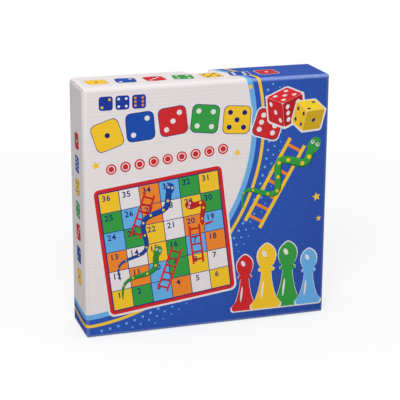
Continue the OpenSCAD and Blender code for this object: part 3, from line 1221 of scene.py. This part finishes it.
class GAMESET_OT_folding_board(bpy.types.Operator):
    """Finishes of the folding board's grey board, papers and hinge tape"""

    bl_idname = "gameset.folding_board"
    bl_label = "Folding board"

    def execute(self, context):
        colours, card, _ = sizes(context)
        boards = context.scene.game_set_boards
        core = Finish("grey_board")
        fibres = core.noise(BOARD_FIBRE_SCALE, 5.0)
        flecks = core.noise(BOARD_FLECK_SCALE, 1.0).ramp(0.62, 0.7)
        layers = core.axes()[1].wave(boards.layer)
        ground = core.blend(fibres, rgba(colours.grey_board, 0.75), rgba(colours.grey_board, 1.2))
        core.set(Base_Color=core.blend(flecks * 0.5, ground, rgba(colours.liner)))
        core.set(Roughness=0.8 + card.uneven * fibres)
        core.bump(fibres * boards.fibre_depth + layers * boards.layer_depth)
        dress(core.material, "ladders_half_core", "ludo_half_core")

        backing = Finish("backing_paper")
        x, _, z = backing.axes()
        grain = x.wave(boards.emboss) * z.wave(boards.emboss)
        tone = backing.noise(BACKING_TONE_SCALE, 3.0)
        ground = backing.blend(tone, rgba(colours.backing, 0.85), rgba(colours.backing, 1.15))
        backing.set(Base_Color=ground, Roughness=0.55 + card.uneven * grain)
        backing.bump(grain * boards.emboss_depth)
        dress(backing.material, "ladders_backing_sheet", "ludo_backing_sheet")

        tape = Finish("hinge_tape")
        x, _, z = tape.axes()
        threads = (x.wave(boards.thread) * z.wave(boards.thread)).ramp(-0.6, 0.6)
        ground = tape.blend(threads, rgba(colours.tape, 0.7), rgba(colours.tape, 1.5))
        tape.set(Base_Color=ground, Roughness=0.7 + 0.15 * threads)
        tape.bump(threads * boards.thread_depth)
        dress(tape.material, "hinge_tape_front_leaf", "hinge_tape_back_leaf")

        for half in ("ladders", "ludo"):
            paper = Finish(f"{half}_print")
            tone = paper.noise(SHEET_TONE_SCALE, 4.0) * 0.5
            ground = paper.blend(tone, rgba(colours.cream), rgba(colours.cream, 0.88))
            gloss = card.satin + card.uneven * paper.noise(SHEET_GLOSS_SCALE)
            paper.set(Base_Color=ground, Roughness=gloss)
            paper.bump(paper.noise(card.grain_scale, 3.0) * card.grain_depth)
            dress(paper.material, f"{half}_print_sheet")
        return {"FINISHED"}


class GAMESET_OT_ladders_print(bpy.types.Operator):
    """Print of the snakes and ladders half: a hundred numbered squares"""

    bl_idname = "gameset.ladders_print"
    bl_label = "Ladders print"

    def execute(self, context):
        cover = context.scene.game_set_cover
        boards = context.scene.game_set_boards
        middle = (LADDERS_LOW + LADDERS_HIGH) / 2
        sheet = Print((middle.x, LADDERS_LOW.y, middle.z), (1, 0, 0), (0, 0, 1), cover.ink_step)
        grid = 10 * boards.ladders_cell
        place = at(0, 0)
        rims = (
            ("blue", boards.ladders_blue, 0.03),
            ("yellow", boards.ladders_yellow, 0.02),
            ("deep_blue", 2 * boards.line, 0.0),
        )
        sheet.rims(place, grid, rims)
        ladders = ((3, 24), (9, 31), (20, 41), (28, 55), (51, 73), (63, 82), (71, 91))
        snakes = ((17, 6), (48, 26), (57, 38), (64, 43), (87, 54), (93, 66), (98, 79))
        sheet.ladders_grid(place, 10, boards.ladders_cell, boards.line, ladders, snakes, 3.5)
        sheet.join("ladders_grid", "board_front", "ladders_print")
        return {"FINISHED"}


class GAMESET_OT_ludo_print(bpy.types.Operator):
    """Print of the ludo half: the traditional cross"""

    bl_idname = "gameset.ludo_print"
    bl_label = "Ludo print"

    def execute(self, context):
        cover = context.scene.game_set_cover
        boards = context.scene.game_set_boards
        middle = (LUDO_LOW + LUDO_HIGH) / 2
        sheet = Print((middle.x, LUDO_HIGH.y, middle.z), (-1, 0, 0), (0, 0, 1), cover.ink_step)
        sheet.ludo_cross(at(0, 0), boards.ludo_cell, boards.line, 1)
        sheet.join("ludo_cross", "base", "ludo_print")
        return {"FINISHED"}


class GAMESET_OT_playing_pieces(bpy.types.Operator):
    """Finishes of the pawns, the die and its pips"""

    bl_idname = "gameset.playing_pieces"
    bl_label = "Playing pieces"

    def execute(self, context):
        colours = sizes(context)[0]
        pieces = context.scene.game_set_pieces
        for name in PAWN_COLOURS:
            slot = f"pawn_{name}"
            plastic = self.plastic(pieces, slot, getattr(colours, name), pieces.pawn_gloss)
            dress(plastic, *(f"{slot}_{number}" for number in range(1, 5)))
        dress(self.plastic(pieces, "die_plastic", colours.red, pieces.die_gloss), "die")
        dress(self.plastic(pieces, "pip_paint", colours.white, pieces.pip_gloss), "die_pips")
        return {"FINISHED"}

    def plastic(self, pieces, slot, tint, gloss):
        """Moulded plastic: faint flow marks, fine pits and handling scuffs."""
        finish = Finish(slot)
        flow = finish.noise(FLOW_SCALE, 3.0)
        scuffs = finish.noise(SCUFF_SCALE, 4.0).ramp(0.55, 0.75)
        finish.set(Base_Color=finish.blend(flow, rgba(tint, 0.88), rgba(tint, 1.1)))
        finish.set(Roughness=gloss + pieces.scuff * scuffs)
        finish.bump(finish.noise(PIT_SCALE, 2.0) * pieces.pit_depth + flow * pieces.flow_depth)
        return finish.material


class GAMESET_OT_stage(bpy.types.Operator):
    """Floor, soft light and the camera"""

    bl_idname = "gameset.stage"
    bl_label = "Stage"

    def execute(self, context):
        stage = context.scene.game_set_stage
        context.scene.view_settings.view_transform = "Standard"
        self.light(context, stage)
        self.floor(stage)
        self.camera(context, stage)
        return {"FINISHED"}

    def light(self, context, stage):
        """White to the camera, a softer light from all round to the box, and two lamps."""
        world = bpy.data.worlds.new("studio")
        context.scene.world = world
        world.use_nodes = True
        nodes = Nodes(world.node_tree)
        background = world.node_tree.nodes["Background"]
        background.inputs["Color"].default_value = (1, 1, 1, 1)
        nodes.feed(background.inputs["Strength"], stage.sky + nodes.seen() * (1 - stage.sky))
        lamps = (
            ("key", stage.key, stage.key_size, stage.key_place),
            ("top", stage.top, stage.top_size, stage.top_place),
        )
        for name, power, size, middle in lamps:
            lamp = bpy.data.lights.new(name, "AREA")
            lamp.energy = power
            lamp.size = size
            holder = bpy.data.objects.new(name, lamp)
            context.scene.collection.objects.link(holder)
            aim = Vector((0, 0, stage.aim_up)) - Vector(middle)
            holder.location = middle
            holder.rotation_euler = aim.to_track_quat("-Z", "Y").to_euler()

    def floor(self, stage):
        """White to the camera, but for the box's shadow, and grey to the light that falls on it."""
        piece = start_piece(bpy.ops.mesh.primitive_plane_add, size=stage.floor_size)
        bpy.ops.mesh.subdivide(number_cuts=7)
        bpy.ops.object.mode_set(mode="OBJECT")
        piece.name = "floor"
        finish = Finish("floor_white")
        seen = finish.seen()
        white = (1, 1, 1, 1)
        grey = rgba((stage.floor_grey,) * 3)
        finish.set(Base_Color=finish.blend(seen, grey, white), Roughness=0.9)
        x, y, _ = finish.axes()
        far = (x * x + y * y).root().ramp(0.2 * stage.shadow_reach, stage.shadow_reach)
        share = seen * (1 - stage.floor_shadow * (1 - far))
        glow = finish.add("Emission", inputs={"Color": white})
        surface = Value(finish, finish.shader.outputs[0])
        mixed = finish.add("MixShader", inputs={0: share, 1: surface, 2: glow})
        finish.feed(finish.tree.nodes["Material Output"].inputs["Surface"], mixed)
        piece.data.materials.append(finish.material)

    def camera(self, context, stage):
        data = bpy.data.cameras.new("camera")
        data.sensor_width = 36
        data.lens = stage.lens
        camera = bpy.data.objects.new("camera", data)
        context.scene.collection.objects.link(camera)
        across, up = stage.azimuth, stage.elevation
        back = Vector((math.sin(across) * math.cos(up), -math.cos(across) * math.cos(up), math.sin(up)))
        target = Vector((stage.target_right, 0, stage.target_up))
        turn = back.to_track_quat("Z", "Y").to_matrix().to_4x4()
        roll = Matrix.Rotation(stage.roll, 4, "Z")
        camera.matrix_world = Matrix.Translation(target + back * stage.distance) @ turn @ roll
        context.scene.camera = camera


STEPS = (
    GAMESET_OT_lid_card,
    GAMESET_OT_cover_tiles,
    GAMESET_OT_cover_panel,
    GAMESET_OT_cover_snake,
    GAMESET_OT_cover_pawns,
    GAMESET_OT_cover_dice,
    GAMESET_OT_cover_dots,
    GAMESET_OT_wall_tiles,
    GAMESET_OT_base_card,
    GAMESET_OT_insert_and_leaflet,
    GAMESET_OT_folding_board,
    GAMESET_OT_ladders_print,
    GAMESET_OT_ludo_print,
    GAMESET_OT_playing_pieces,
    GAMESET_OT_stage,
)

SETTINGS = {
    "game_set_colours": GameSetColours,
    "game_set_card": GameSetCard,
    "game_set_cover": GameSetCover,
    "game_set_boards": GameSetBoards,
    "game_set_pieces": GameSetPieces,
    "game_set_stage": GameSetStage,
}


class GAMESET_PT_sidebar(bpy.types.Panel):
    """Steps and settings of the game set"""

    bl_idname = "GAMESET_PT_sidebar"
    bl_label = "Game set"
    bl_space_type = "VIEW_3D"
    bl_region_type = "UI"
    bl_category = "Game set"

    def draw(self, context):
        for step in STEPS:
            self.layout.operator(step.bl_idname)
        for name, group in SETTINGS.items():
            box = self.layout.box()
            for setting in group.__annotations__:
                box.prop(getattr(context.scene, name), setting)


def register():
    for group in (*SETTINGS.values(), *STEPS, GAMESET_PT_sidebar):
        bpy.utils.register_class(group)
    for name, group in SETTINGS.items():
        setattr(bpy.types.Scene, name, PointerProperty(type=group))


def unregister():
    for name in SETTINGS:
        delattr(bpy.types.Scene, name)
    for group in (GAMESET_PT_sidebar, *reversed(STEPS), *SETTINGS.values()):
        bpy.utils.unregister_class(group)


def main():
    register()
    for step in STEPS:
        call = getattr(bpy.ops.gameset, step.bl_idname.split(".")[1])
        call()
    bpy.context.view_layer.update()


if __name__ == "__main__":
    main()
